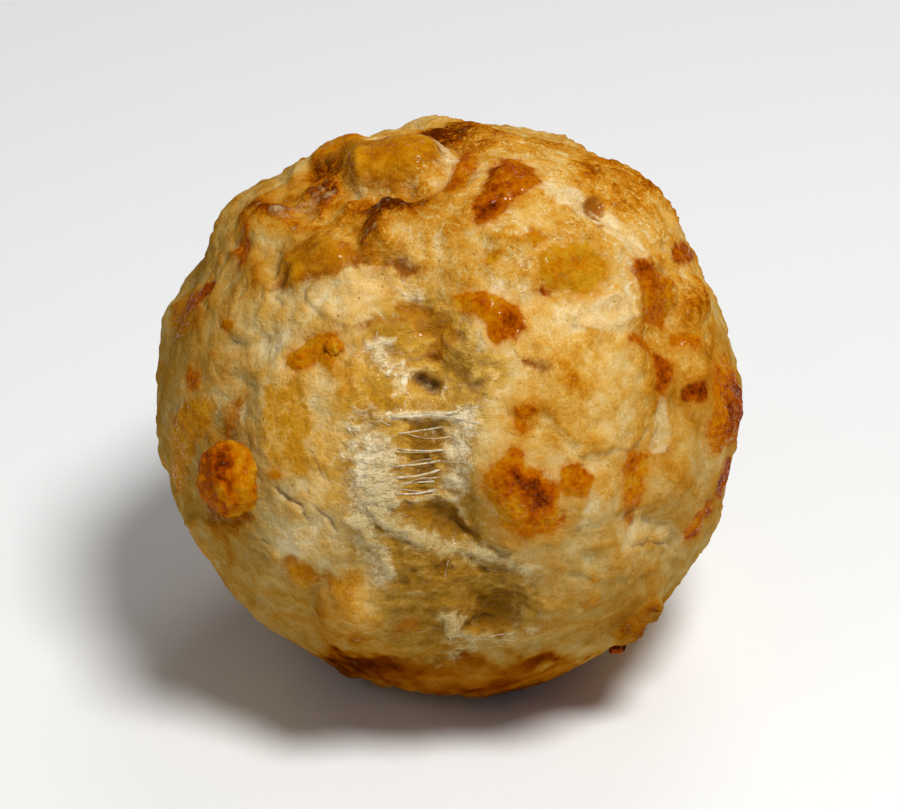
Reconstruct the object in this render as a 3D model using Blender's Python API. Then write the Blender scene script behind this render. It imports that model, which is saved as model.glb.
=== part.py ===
"""Pao de queijo, the Brazilian baked cheese ball, as one solid.

Metres, +Z up. The origin lies under the middle of the ball, on the surface that it
stands on. The ball's best side, with the tear in its crust, faces -Y.

The crust starts as a sphere. Lumps, folds and shelves are then added to its radius,
and the underside is cut flat where the ball sat on the baking tray.
"""

import math
from collections import namedtuple

import bmesh
import bpy
import numpy as np
from mathutils import Vector, noise

# Driving dimensions, in millimetres and degrees
BALL_RADIUS = 27.3
FOOT_RADIUS = 9.5  # flat spot under the ball
SQUASH = (1.01, 0.995, 0.985)  # how far the ball is from round along X, Y and Z
GRID_CUTS = 26  # cuts along each edge of the starting cube
SEEN_FROM = 30.0  # places are given as seen from this far above the table

# Slow unevenness of the whole crust: size and height of the waves
WAVES = ((19.0, 0.9), (9.0, 0.42))
EDGE_SLOPE = 1.8  # width over which a broken edge of crust steps up

MM = 0.001
CRUST_COLOUR = (0.78, 0.52, 0.22, 1.0)

# face: the side it is seen from, in degrees round the ball: 0 is the front, 90 the right.
# right, up: how far the place lies from the middle of the ball, seen from that side.
# wide, tall: half sizes of a lump, which then turns anticlockwise by turn.
Lump = namedtuple("Lump", "face right up wide tall turn rise")

# route: places (right, up) along it. A fold is a valley as deep as depth, a shelf
# is a broken edge of crust that stands up on the left of its route by rise
# and eases back into the ball over fade.
Fold = namedtuple("Fold", "face route width depth")
Shelf = namedtuple("Shelf", "face route rise fade")

LUMPS = (
    # front: the cap, the belly and the lobes between the folds
    Lump(0, 9.5, 17.5, 14.5, 12.5, -30, 2.3),
    Lump(0, 10.5, 3.0, 8.5, 7.5, 0, 0.9),
    Lump(0, 24.5, -1.0, 5.5, 11.0, -8, 1.1),
    Lump(0, 21.5, 10.0, 4.5, 6.5, 25, 0.5),
    Lump(0, -17.5, -13.0, 13.0, 11.0, -40, 1.1),
    Lump(0, -24.5, 2.0, 6.0, 11.0, 10, 0.8),
    Lump(0, -9.6, -18.6, 6.5, 5.0, 15, 1.0),
    Lump(0, 13.0, -17.0, 9.0, 3.2, 38, 0.9),
    Lump(0, -9.0, 22.5, 6.5, 2.6, 32, 0.8),
    # front: melted cheese that stands out of the crust
    Lump(0, -20.2, -6.8, 3.9, 3.9, 0, 1.5),
    Lump(0, -4.8, 16.0, 5.2, 4.2, 30, 1.3),
    Lump(0, -11.5, 13.0, 6.0, 3.8, 30, 0.5),
    Lump(0, 5.0, 19.6, 3.6, 2.6, 20, 0.6),
    Lump(0, 25.6, 0.6, 3.6, 5.4, 0, 0.7),
    Lump(0, 6.8, -7.4, 3.9, 4.2, 0, 0.7),
    Lump(0, 16.8, -19.8, 3.6, 1.5, 42, 1.3),
    Lump(0, 0.2, -20.0, 2.6, 3.0, 0, 0.9),
    # the sides and the back
    Lump(115, -4.0, 9.0, 12.0, 9.0, 25, 1.3),
    Lump(120, 7.0, -9.0, 9.0, 10.0, -20, 0.9),
    Lump(115, 11.5, 7.0, 3.4, 2.6, 30, 1.1),
    Lump(105, -7.5, -11.0, 3.0, 3.6, 0, 0.9),
    Lump(185, -9.0, 8.0, 11.0, 8.0, -15, 1.2),
    Lump(180, 9.0, -2.0, 9.0, 12.0, 10, 0.8),
    Lump(190, -4.5, -7.5, 4.0, 2.8, -35, 1.2),
    Lump(170, 4.0, 13.5, 3.0, 4.2, 20, 0.9),
    Lump(250, 2.0, 6.0, 12.0, 8.0, 30, 1.0),
    Lump(245, -9.0, -9.0, 8.0, 9.0, 0, 0.9),
    Lump(255, 5.5, -4.5, 3.6, 3.0, 50, 1.2),
    Lump(240, -6.0, 11.0, 3.0, 2.6, 0, 0.9),
)

FOLDS = (
    # front: under the cap, down the right side, and the tear with its two pits
    Fold(0, ((-1.8, 25.8), (-0.4, 23.4), (6.5, 20.4), (12.5, 18.0), (17.0, 14.0)), 3.4, 0.9),
    Fold(0, ((19.2, 7.0), (19.2, 0.0), (18.2, -5.0), (16.6, -10.5), (19.5, -14.0)), 4.2, 1.2),
    Fold(0, ((-4.5, 10.2), (-2.0, 6.5), (-1.6, 1.5), (-2.0, -3.0), (-1.6, -7.5), (0.8, -11.0)), 4.8, 1.7),
    Fold(0, ((0.8, -11.0), (2.6, -15.0), (4.0, -18.8)), 4.2, 1.4),
    Fold(0, ((-3.4, 2.4), (0.0, 1.8)), 3.0, 1.1),
    Fold(0, ((2.0, -19.0), (5.0, -19.6)), 3.2, 1.1),
    Fold(0, ((-13.4, 21.0), (-8.0, 23.2)), 2.8, 0.8),
    Fold(0, ((-14.5, 12.5), (-9.0, 17.5), (-4.5, 20.0)), 3.0, 0.8),
    Fold(0, ((-6.0, -24.0), (0.0, -24.2), (6.0, -22.6), (14.0, -20.2)), 3.0, 0.8),
    # the sides and the back
    Fold(100, ((-9.0, 15.0), (-3.0, 11.5), (4.0, 12.5), (9.5, 9.0)), 3.6, 0.9),
    Fold(130, ((-6.0, -5.0), (0.0, -2.5), (6.5, -4.5), (10.0, -10.0)), 3.4, 0.8),
    Fold(180, ((-12.0, -3.0), (-5.0, -1.0), (2.0, -4.5), (4.5, -11.0)), 3.8, 1.1),
    Fold(205, ((-3.0, 17.0), (2.5, 12.5), (3.0, 6.0)), 3.4, 0.8),
    Fold(250, ((-9.0, 2.0), (-2.0, -1.0), (5.0, 0.5), (11.0, -4.0)), 3.6, 1.0),
)

SHELVES = (
    # front: the cap's broken rim, the flake above the tear, the rim under the melted patch
    Shelf(0, ((17.2, 13.6), (13.0, 17.6), (6.5, 19.9), (1.6, 22.8), (-1.4, 24.6)), 0.7, 5.5),
    Shelf(0, ((-4.8, 9.4), (-9.0, 7.4), (-13.0, 9.8), (-11.6, 11.4), (-5.6, 12.4), (-4.8, 9.4)), 0.5, 3.0),
    Shelf(0, ((13.5, -22.6), (17.2, -20.6), (19.4, -17.2)), 0.8, 2.5),
    Shelf(0, ((16.0, 5.0), (17.8, 8.0), (17.4, 11.0), (13.8, 10.6)), 0.5, 3.0),
    # the back
    Shelf(180, ((-10.0, 2.0), (-4.0, 3.4), (2.0, 1.8), (7.0, 5.0)), 0.8, 4.0),
    Shelf(110, ((8.0, -4.0), (2.0, -6.5), (-5.0, -5.0)), 0.7, 4.0),
    Shelf(250, ((9.0, 8.0), (3.0, 5.5), (-3.5, 7.0)), 0.7, 4.0),
)


def clear_scene():
    for obj in list(bpy.data.objects):
        bpy.data.objects.remove(obj)


def facing(face, right, up):
    """The outward direction of a place, given as seen from one side of the ball."""
    depth = math.sqrt(max(BALL_RADIUS**2 - right**2 - up**2, 1.0))
    tilt = math.radians(SEEN_FROM)
    turn = math.radians(face)
    out = depth * math.cos(tilt) - up * math.sin(tilt)
    high = depth * math.sin(tilt) + up * math.cos(tilt)
    across = right * math.cos(turn) + out * math.sin(turn)
    along = right * math.sin(turn) - out * math.cos(turn)
    return np.array(Vector((across, along, high)).normalized())


def hump(t):
    """1 at t = 0, easing to 0 at t = 1 and beyond."""
    return np.clip(1.0 - t * t, 0.0, 1.0) ** 2


def lump_height(ways, lump):
    """How far a lump lifts the crust in each of the given directions."""
    middle = facing(lump.face, lump.right, lump.up)
    level = np.cross((0.0, 0.0, 1.0), middle)
    level /= np.linalg.norm(level)
    steep = np.cross(middle, level)
    turn = math.radians(lump.turn)
    x = ways @ level * BALL_RADIUS
    y = ways @ steep * BALL_RADIUS
    wide = (x * math.cos(turn) + y * math.sin(turn)) / lump.wide
    tall = (y * math.cos(turn) - x * math.sin(turn)) / lump.tall
    near = ways @ middle > 0.0
    return lump.rise * hump(np.hypot(wide, tall)) * near


def route_distance(ways, face, route):
    """Distance of each direction from a route over the ball, and on which side it lies."""
    stops = [facing(face, *place) * BALL_RADIUS for place in route]
    points = ways * BALL_RADIUS
    nearest = np.full(len(points), np.inf)
    side = np.zeros(len(points))
    for start, end in zip(stops, stops[1:]):
        step = end - start
        share = np.clip((points - start) @ step / (step @ step), 0.0, 1.0)
        away = points - (start + share[:, None] * step)
        outward = start + end
        flat = away - np.outer(away @ outward / (outward @ outward), outward)
        distance = np.linalg.norm(flat, axis=1) + np.where(points @ outward > 0.0, 0.0, 1e3)
        closer = distance < nearest
        nearest = np.where(closer, distance, nearest)
        side = np.where(closer, np.sign(np.cross(outward, step) @ flat.T), side)
    return nearest, side


def fold_depth(ways, fold):
    distance, _ = route_distance(ways, fold.face, fold.route)
    return fold.depth * hump(distance / fold.width)


def shelf_height(ways, shelf):
    distance, side = route_distance(ways, shelf.face, shelf.route)
    above = np.clip(0.5 + side * distance / EDGE_SLOPE, 0.0, 1.0)
    return shelf.rise * hump(distance / shelf.fade) * above


def waves(ways):
    """The crust's slow unevenness, from Blender's own smooth noise."""
    height = np.zeros(len(ways))
    for size, rise in WAVES:
        height += [rise * noise.noise(Vector(way * BALL_RADIUS / size)) for way in ways]
    return height


def crust_radius(ways):
    radius = BALL_RADIUS + waves(ways)
    for lump in LUMPS:
        radius += lump_height(ways, lump)
    for shelf in SHELVES:
        radius += shelf_height(ways, shelf)
    for fold in FOLDS:
        radius -= fold_depth(ways, fold)
    return radius


def even_sphere(bm):
    """Draws a gridded cube out to a unit sphere, with its faces of about one size."""
    for vert in bm.verts:
        spread = [math.tan(axis * math.pi / 4) for axis in vert.co]
        vert.co = Vector(spread).normalized()


def cut_foot(bm):
    """Cuts the underside flat, level with a foot of FOOT_RADIUS, and fills the cut."""
    lowest = min(vert.co.z for vert in bm.verts)
    below = BALL_RADIUS - math.sqrt(BALL_RADIUS**2 - FOOT_RADIUS**2)
    level = Vector((0.0, 0.0, lowest + below))
    everything = bm.verts[:] + bm.edges[:] + bm.faces[:]
    cut = bmesh.ops.bisect_plane(
        bm, geom=everything, plane_co=level, plane_no=(0.0, 0.0, 1.0), clear_inner=True
    )
    rim = [item for item in cut["geom_cut"] if isinstance(item, bmesh.types.BMEdge)]
    bmesh.ops.contextual_create(bm, geom=rim)


def stand_on_origin(bm):
    """Moves the ball so that the middle of its base lies on the origin."""
    points = np.array([vert.co for vert in bm.verts])
    low, high = points.min(axis=0), points.max(axis=0)
    middle = (low + high) / 2
    bmesh.ops.translate(bm, verts=bm.verts, vec=(-middle[0], -middle[1], -low[2]))


def crust_material():
    material = bpy.data.materials.new("baked_crust")
    material.use_nodes = True
    shader = material.node_tree.nodes["Principled BSDF"]
    shader.inputs["Base Color"].default_value = CRUST_COLOUR
    shader.inputs["Roughness"].default_value = 0.6
    shader.inputs["Metallic"].default_value = 0.0
    return material


def cheese_ball(collection):
    bpy.ops.mesh.primitive_cube_add(size=2.0)
    ball = bpy.context.active_object
    ball.name = ball.data.name = "cheese_ball"
    bm = bmesh.new()
    bm.from_mesh(ball.data)
    bmesh.ops.subdivide_edges(bm, edges=bm.edges[:], cuts=GRID_CUTS, use_grid_fill=True)
    even_sphere(bm)

    ways = np.array([vert.co for vert in bm.verts])
    for vert, way, radius in zip(bm.verts, ways, crust_radius(ways)):
        vert.co = Vector(way * radius * SQUASH)

    cut_foot(bm)
    stand_on_origin(bm)
    bmesh.ops.scale(bm, vec=(MM, MM, MM), verts=bm.verts)
    bmesh.ops.triangulate(bm, faces=bm.faces[:])
    bmesh.ops.recalc_face_normals(bm, faces=bm.faces[:])
    bm.to_mesh(ball.data)
    bm.free()

    ball.data.shade_smooth()
    ball.data.materials.append(crust_material())
    for owner in list(ball.users_collection):
        owner.objects.unlink(ball)
    collection.objects.link(ball)
    return ball


def main():
    clear_scene()
    collection = bpy.data.collections.new("pao_de_queijo")
    bpy.context.scene.collection.children.link(collection)
    cheese_ball(collection)


main()
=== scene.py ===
import itertools
import math

import bmesh
import bpy
import numpy as np
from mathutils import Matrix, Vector
from mathutils.bvhtree import BVHTree


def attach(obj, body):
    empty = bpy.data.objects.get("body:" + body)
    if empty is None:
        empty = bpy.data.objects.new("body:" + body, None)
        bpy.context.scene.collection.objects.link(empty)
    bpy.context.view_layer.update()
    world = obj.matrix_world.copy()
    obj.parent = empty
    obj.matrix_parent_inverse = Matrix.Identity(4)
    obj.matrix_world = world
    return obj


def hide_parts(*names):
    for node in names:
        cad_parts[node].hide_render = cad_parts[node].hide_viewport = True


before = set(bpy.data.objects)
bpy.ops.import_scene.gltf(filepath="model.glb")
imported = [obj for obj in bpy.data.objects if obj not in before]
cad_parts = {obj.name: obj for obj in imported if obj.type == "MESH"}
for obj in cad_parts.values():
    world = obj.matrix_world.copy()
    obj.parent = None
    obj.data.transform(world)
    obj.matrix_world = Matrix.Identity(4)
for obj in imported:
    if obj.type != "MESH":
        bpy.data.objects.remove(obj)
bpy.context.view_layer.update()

mm = 0.001

# lengths are in mm and angles in degrees until a mesh is written out
ball = {
    "middle": (0.0, -0.35, 25.3),   # where its radius is measured from
    "radius": 27.0,
    "outside": 60.0,                # well clear of it, to look in from
    "seenFrom": 30.0,               # the front is laid out as seen from this far above the table
    "gridCuts": 127,
    "frontPull": 0.2,               # how far the grid is drawn towards the front, for finer folds there
    "evenPasses": 26,               # smoothing of the frame's facets
    "creasePasses": 30,             # smoothing that the creases are measured against
    "closing": (4.0, 5.0),          # where shapes start to close round the edge of a side, and how much
    "behind": -1.0,                 # nothing of a side lies further back than this
    "warp": ((3.2, 0.55), (1.1, 0.22)),   # size and reach of the waver in every outline
    "lumps": ((6.5, 0.3), (2.6, 0.13)),   # size and height of the dough's unevenness
    "creased": ((5.2, 0.8625), (2.4, 0.345)),  # round swellings with sharp creases between
    "creasedPatches": 9.0,
    "wrinkle": (1.9, 0.16),         # size of the wrinkles and their height
    "capWrinkle": 0.256,            # how much higher they are on the cap
    "fine": (0.9, 0.07),
    "footRise": 1.6,                # relief dies away this close to the table
}


# ---- noise over points in mm

def gradientNoise(points, seed):
    random = np.random.default_rng(seed)
    table = random.permutation(256)
    slopes = random.normal(size=(256, 3))
    slopes /= np.linalg.norm(slopes, axis=1)[:, None]
    cell = np.floor(points).astype(int)
    inside = points - cell
    ease = inside**3 * (inside * (inside * 6 - 15) + 10)
    total = np.zeros(len(points))
    for corner in itertools.product((0, 1), repeat=3):
        at = cell + corner
        pick = table[(table[(table[at[:, 0] & 255] + at[:, 1]) & 255] + at[:, 2]) & 255]
        weight = np.prod(np.where(corner, ease, 1 - ease), axis=1)
        total += weight * np.einsum("ij,ij->i", slopes[pick], inside - corner)
    return total * 1.6


def softNoise(points, size, seed, octaves=3, keep=0.5):
    total = np.zeros(len(points))
    for step in range(octaves):
        total += keep**step * gradientNoise(points / size * 2**step, seed + step)
    return total


# sharp crests near 1, round valleys near 0
def crestNoise(points, size, seed, octaves=2):
    total = np.zeros(len(points))
    for step in range(octaves):
        total += 0.55**step * (1 - np.abs(gradientNoise(points / size * 2**step, seed + step)) * 1.7)
    return np.clip(total / (1.55 if octaves > 1 else 1.0), 0, 1)


# distance to the nearest of scattered points: round knobs packed together
def knobNoise(points, size, seed):
    table = np.random.default_rng(seed).permutation(256)
    jitter = np.random.default_rng(seed + 1).random((256, 3))
    scaled = points / size
    cell = np.floor(scaled).astype(int)
    nearest = np.full(len(points), 9.0)
    for corner in itertools.product((-1, 0, 1), repeat=3):
        at = cell + corner
        pick = table[(table[(table[at[:, 0] & 255] + at[:, 1]) & 255] + at[:, 2]) & 255]
        away = at + jitter[pick] - scaled
        nearest = np.minimum(nearest, np.einsum("ij,ij->i", away, away))
    return np.clip(1 - np.sqrt(nearest), 0, 1)


def ease(value, low, high):
    t = np.clip((value - low) / (high - low), 0, 1)
    return t * t * (3 - 2 * t)


# ---- outlines on one side of the ball

# directions of a side: to its right, up it, and out towards whoever looks at it
def sideAxes(face, high):
    turn, lift = math.radians(face), math.radians(high)
    right = np.array((math.cos(turn), math.sin(turn), 0.0))
    up = np.array((-math.sin(turn) * math.sin(lift), math.cos(turn) * math.sin(lift), math.cos(lift)))
    return right, up, np.cross(right, up)


# signed distance to an outline of (right, up) corners, positive inside
def insideOutline(u, v, corners):
    nearest = np.full(len(u), np.inf)
    inside = np.zeros(len(u), bool)
    for (x1, y1), (x2, y2) in zip(corners, corners[1:] + corners[:1]):
        stepX, stepY = x2 - x1, y2 - y1
        share = np.clip(((u - x1) * stepX + (v - y1) * stepY) / (stepX**2 + stepY**2), 0, 1)
        away = (u - x1 - share * stepX) ** 2 + (v - y1 - share * stepY) ** 2
        nearest = np.minimum(nearest, away)
        level = (y1 > v) != (y2 > v)
        inside ^= level & (u < stepX * (v - y1) / (stepY if stepY else 1e-9) + x1)
    return np.where(inside, 1, -1) * np.sqrt(nearest)


# the same for a brush stroke through (right, up, radius) stops
def insideStroke(u, v, stops):
    best = np.full(len(u), -np.inf)
    ends = list(zip(stops, stops[1:])) or [(stops[0], stops[0])]
    for (x1, y1, r1), (x2, y2, r2) in ends:
        stepX, stepY = x2 - x1, y2 - y1
        long = stepX**2 + stepY**2
        share = np.clip(((u - x1) * stepX + (v - y1) * stepY) / long, 0, 1) if long else 0.0
        away = np.hypot(u - x1 - share * stepX, v - y1 - share * stepY)
        best = np.maximum(best, r1 + share * (r2 - r1) - away)
    return best


def insideShape(u, v, shape):
    return insideStroke(u, v, shape) if len(shape[0]) == 3 else insideOutline(u, v, shape)


# a rough oval of a random outline, round its own middle
def roughOval(random, wide, tall):
    corners = int(random.integers(6, 10))
    turn = random.uniform(0, math.pi)
    outline = []
    for index in range(corners):
        angle = (index + random.uniform(-0.3, 0.3)) * 2 * math.pi / corners
        reach = random.uniform(0.72, 1.15)
        x, y = wide * reach * math.cos(angle), tall * reach * math.sin(angle)
        outline.append((x * math.cos(turn) - y * math.sin(turn),
                        x * math.sin(turn) + y * math.cos(turn)))
    return outline


# ---- what lies where on the front; places are (right, up) from its middle

# browned bits of cheese: tone from 0 orange to 1 burnt, then rise, then shape
brownedFront = [
    (0.62, 0.55, [(4.9, 22.4), (6.4, 22.2), (7.7, 21.4), (8.0, 20.3), (6.6, 19.6), (5.3, 18.5),
                  (4.8, 17.6), (4.0, 16.5), (2.9, 16.6), (2.3, 17.9), (2.8, 19.0), (3.1, 20.7),
                  (3.7, 21.8)]),
    (0.6, 0.25, [(1.8, 23.5), (2.5, 22.7), (2.0, 21.6), (1.1, 20.1), (0.3, 19.0), (-0.8, 19.8),
                 (0.1, 20.7), (0.7, 22.2)]),
    (0.22, 0.25, [(11.0, 14.5), (12.1, 14.7), (12.5, 13.9), (13.8, 12.8), (13.4, 11.7), (12.7, 10.5),
                 (10.5, 10.2), (8.6, 10.7), (8.1, 12.4), (8.6, 13.3), (10.1, 13.7)]),
    (0.34, 0.1, [(7.5, 15.4), (8.3, 14.8), (7.5, 13.9), (6.6, 14.2)]),
    (0.52, 0.3, [(16.8, 12.9), (18.6, 12.8), (19.9, 11.3), (20.1, 9.1), (19.2, 7.2), (17.7, 7.8),
                 (17.6, 9.8), (17.7, 11.5), (16.6, 12.4)]),
    (0.46, 0.35, [(0.5, 9.8), (2.7, 10.0), (4.6, 9.4), (6.1, 8.7), (6.6, 7.2), (5.5, 6.1), (4.4, 5.4),
                 (3.5, 6.9), (2.0, 8.2), (0.5, 8.9)]),
    (0.38, 0.05, [(3.7, 12.8, 0.55)]),
    (0.75, 0.05, [(8.1, 10.4, 0.0), (8.5, 9.7, 0.1)]),
    (0.66, 0.1, [(-18.0, 15.9, 0.25), (-18.6, 14.5, 0.55), (-18.9, 13.2, 0.5)]),
    (0.8, 0.15, [(-22.0, 10.7, 0.2), (-23.4, 9.8, 0.6), (-23.8, 9.2, 0.4)]),
    (0.4, 0.05, [(-20.1, 7.3, 0.45)]),
    (0.45, 0.08, [(-23.5, 2.1, 0.7)]),
    (0.36, 0.3, [(-14.4, 4.6), (-13.1, 5.4), (-11.3, 6.1), (-10.2, 6.3), (-9.7, 5.0), (-10.6, 3.5),
                 (-12.0, 3.9), (-13.9, 3.0), (-14.4, 3.5)]),
    (0.5, 0.6, [(5.5, -3.8), (7.0, -5.0), (8.6, -6.4), (9.7, -8.1), (9.9, -10.0), (8.6, -11.2),
                 (6.8, -12.2), (4.9, -10.9), (3.5, -9.2), (2.7, -7.2), (3.7, -5.5)]),
    (0.5, 0.35, [(9.9, -5.7), (11.6, -5.3), (12.5, -6.4), (12.0, -7.9), (10.3, -8.3), (9.6, -7.2)]),
    (0.6, 0.15, [(5.9, -0.4), (7.5, -0.2), (7.8, -0.9), (6.8, -1.5), (7.1, -2.3), (6.2, -2.5), (5.9, -1.5)]),
    (0.45, 0.2, [(16.6, -4.0), (17.9, -4.6), (17.6, -6.6), (17.3, -8.8), (16.0, -8.8), (16.2, -6.3)]),
    (0.6, 0.2, [(16.6, 6.1, 0.35), (17.8, 5.0, 0.45), (18.1, 4.1, 0.3)]),
    (0.75, 0.2, [(18.8, 4.5), (19.9, 4.3), (20.1, 2.4), (19.3, 1.1), (18.6, 1.7)]),
    (0.5, 0.1, [(20.8, 6.1, 0.4), (21.9, 5.8, 0.5)]),
    (0.7, 0.15, [(21.3, 14.3, 0.5), (22.1, 13.8, 0.45)]),
    (0.7, 0.15, [(17.2, 23.6, 0.3), (18.0, 23.2, 0.3)]),
    (0.52, 0.4, [(25.4, 4.4), (26.6, 3.5), (28.4, 1.7), (28.6, 0.4), (27.9, -2.2), (26.2, -3.5),
                 (24.1, -4.2), (24.0, -1.8), (24.5, 0.8), (24.3, 2.6)]),
    (0.88, 0.1, [(22.7, 1.1, 0.75)]),
    (0.82, 0.2, [(26.0, -5.5, 0.5), (25.2, -8.1, 0.4)]),
    (0.35, 0.2, [(26.9, -5.2, 0.5), (26.3, -7.7, 0.6)]),
    (0.62, 0.15, [(24.0, -9.4, 0.3), (22.5, -11.8, 0.5)]),
    (0.5, 0.05, [(-15.9, -6.1, 0.4)]),
    (0.75, 0.25, [(-24.0, -16.2), (-22.0, -16.4), (-20.1, -18.4), (-18.9, -19.9), (-20.9, -20.2),
                  (-23.7, -18.7)]),
    (0.34, 0.1, [(-24.0, -13.3, 0.5), (-23.4, -14.6, 0.6)]),
    (0.42, 0.2, [(-11.4, 23.6, 0.6), (-9.3, 24.6, 0.8)]),
    (0.5, 0.05, [(-4.6, 19.1, 0.2)]),
]

# the darkest, most baked part of a bit of cheese, and how much darker it is
darkerFront = [
    (0.3, [(5.4, -5.5), (7.5, -5.9), (9.4, -7.7), (9.4, -9.6), (7.9, -9.2), (6.4, -7.7)]),
    (0.22, [(3.4, 17.3, 0.9)]),
    (0.2, [(3.6, 21.3, 0.5), (4.6, 22.2, 0.5)]),
    (-0.2, [(4.6, 20.5, 0.9)]),
    (0.25, [(5.4, 6.6, 0.8), (6.3, 7.8, 0.5)]),
    (0.3, [(17.3, 12.4, 0.8)]),
    (0.1, [(26.5, -2.0, 1.0), (27.0, 1.0, 1.2)]),
    (0.2, [(17.2, -4.6, 0.6)]),
    (-0.2, [(5.0, -10.0, 1.6)]),
]

# melted cheese that soaked into the dough: tone from 0 pale olive to 1 dark ochre, rise, shape
meltedFront = [
    (0.5, 0.05, [(-16.1, 10.2), (-15.0, 12.8), (-13.1, 14.8), (-10.5, 15.2), (-8.3, 14.2), (-6.9, 12.9),
                 (-9.1, 12.4), (-10.2, 11.3), (-13.1, 10.9)]),
    (0.55, -0.3, [(-6.5, 12.9), (-3.5, 12.8), (-2.1, 11.7), (-4.6, 11.3)]),
    (0.5, 0.35, [(-10.5, 22.0), (-8.3, 23.9), (-5.0, 24.4), (-1.9, 24.0), (-0.8, 22.7), (-2.4, 20.7),
                  (-5.0, 19.8), (-8.0, 20.1)]),
    (0.35, 0.1, [(-24.2, 0.4), (-21.6, 1.1), (-21.4, -0.7), (-22.4, -3.3), (-24.2, -5.9), (-25.1, -8.7),
                (-26.2, -8.5), (-26.6, -6.6), (-25.7, -5.2), (-25.5, -2.2)]),
    (0.6, 0.1, [(-20.0, 0.2), (-18.5, 0.8), (-19.0, -1.5), (-20.1, -3.3), (-20.6, -2.2)]),
    (0.5, 0.1, [(-25.3, 9.4, 0.8), (-24.9, 7.4, 1.4)]),
    (0.1, -0.1, [(-16.3, 1.9), (-13.6, 2.2), (-12.6, -0.4), (-12.7, -3.7), (-12.9, -6.4), (-16.0, -6.6),
                 (-16.8, -3.7), (-16.9, -0.4)]),
    (0.5, -0.25, [(-4.6, 8.8, 0.7), (-2.2, 7.6, 1.7), (0.2, 6.2, 1.0), (-1.6, 4.4, 0.9)]),
    (0.6, -0.2, [(-7.9, 7.3, 0.35), (-4.3, 7.6, 0.5)]),
    (0.55, -0.2, [(6.5, 3.9, 0.35), (8.6, 3.1, 0.45)]),
    (0.5, -0.2, [(5.6, 12.2, 0.22), (6.6, 12.0, 0.26)]),
    (0.55, -0.5, [(13.0, 18.6, 0.7), (13.9, 18.1, 0.7)]),
    (0.3, -0.3, [(12.9, 17.1, 0.4), (14.1, 16.5, 0.3)]),
    (0.55, -0.15, [(15.6, -8.8), (17.1, -9.2), (17.5, -11.1), (15.6, -11.2)]),
    (0.35, 0.0, [(-14.3, -14.6, 0.8), (-13.3, -15.6, 1.1)]),
    (0.35, 0.0, [(-11.0, -15.7, 0.8), (-10.1, -16.2, 0.7)]),
    (0.4, 0.0, [(11.9, -18.5, 0.3), (13.3, -18.1, 0.4)]),
    (0.4, 0.0, [(12.8, -15.9, 0.35)]),
    (0.75, 0.0, [(-21.8, -9.6, 0.7), (-19.0, -10.0, 0.9)]),
    (0.45, 0.0, [(-3.6, -20.2, 0.9), (-4.6, -21.0, 0.6)]),
]

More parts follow.
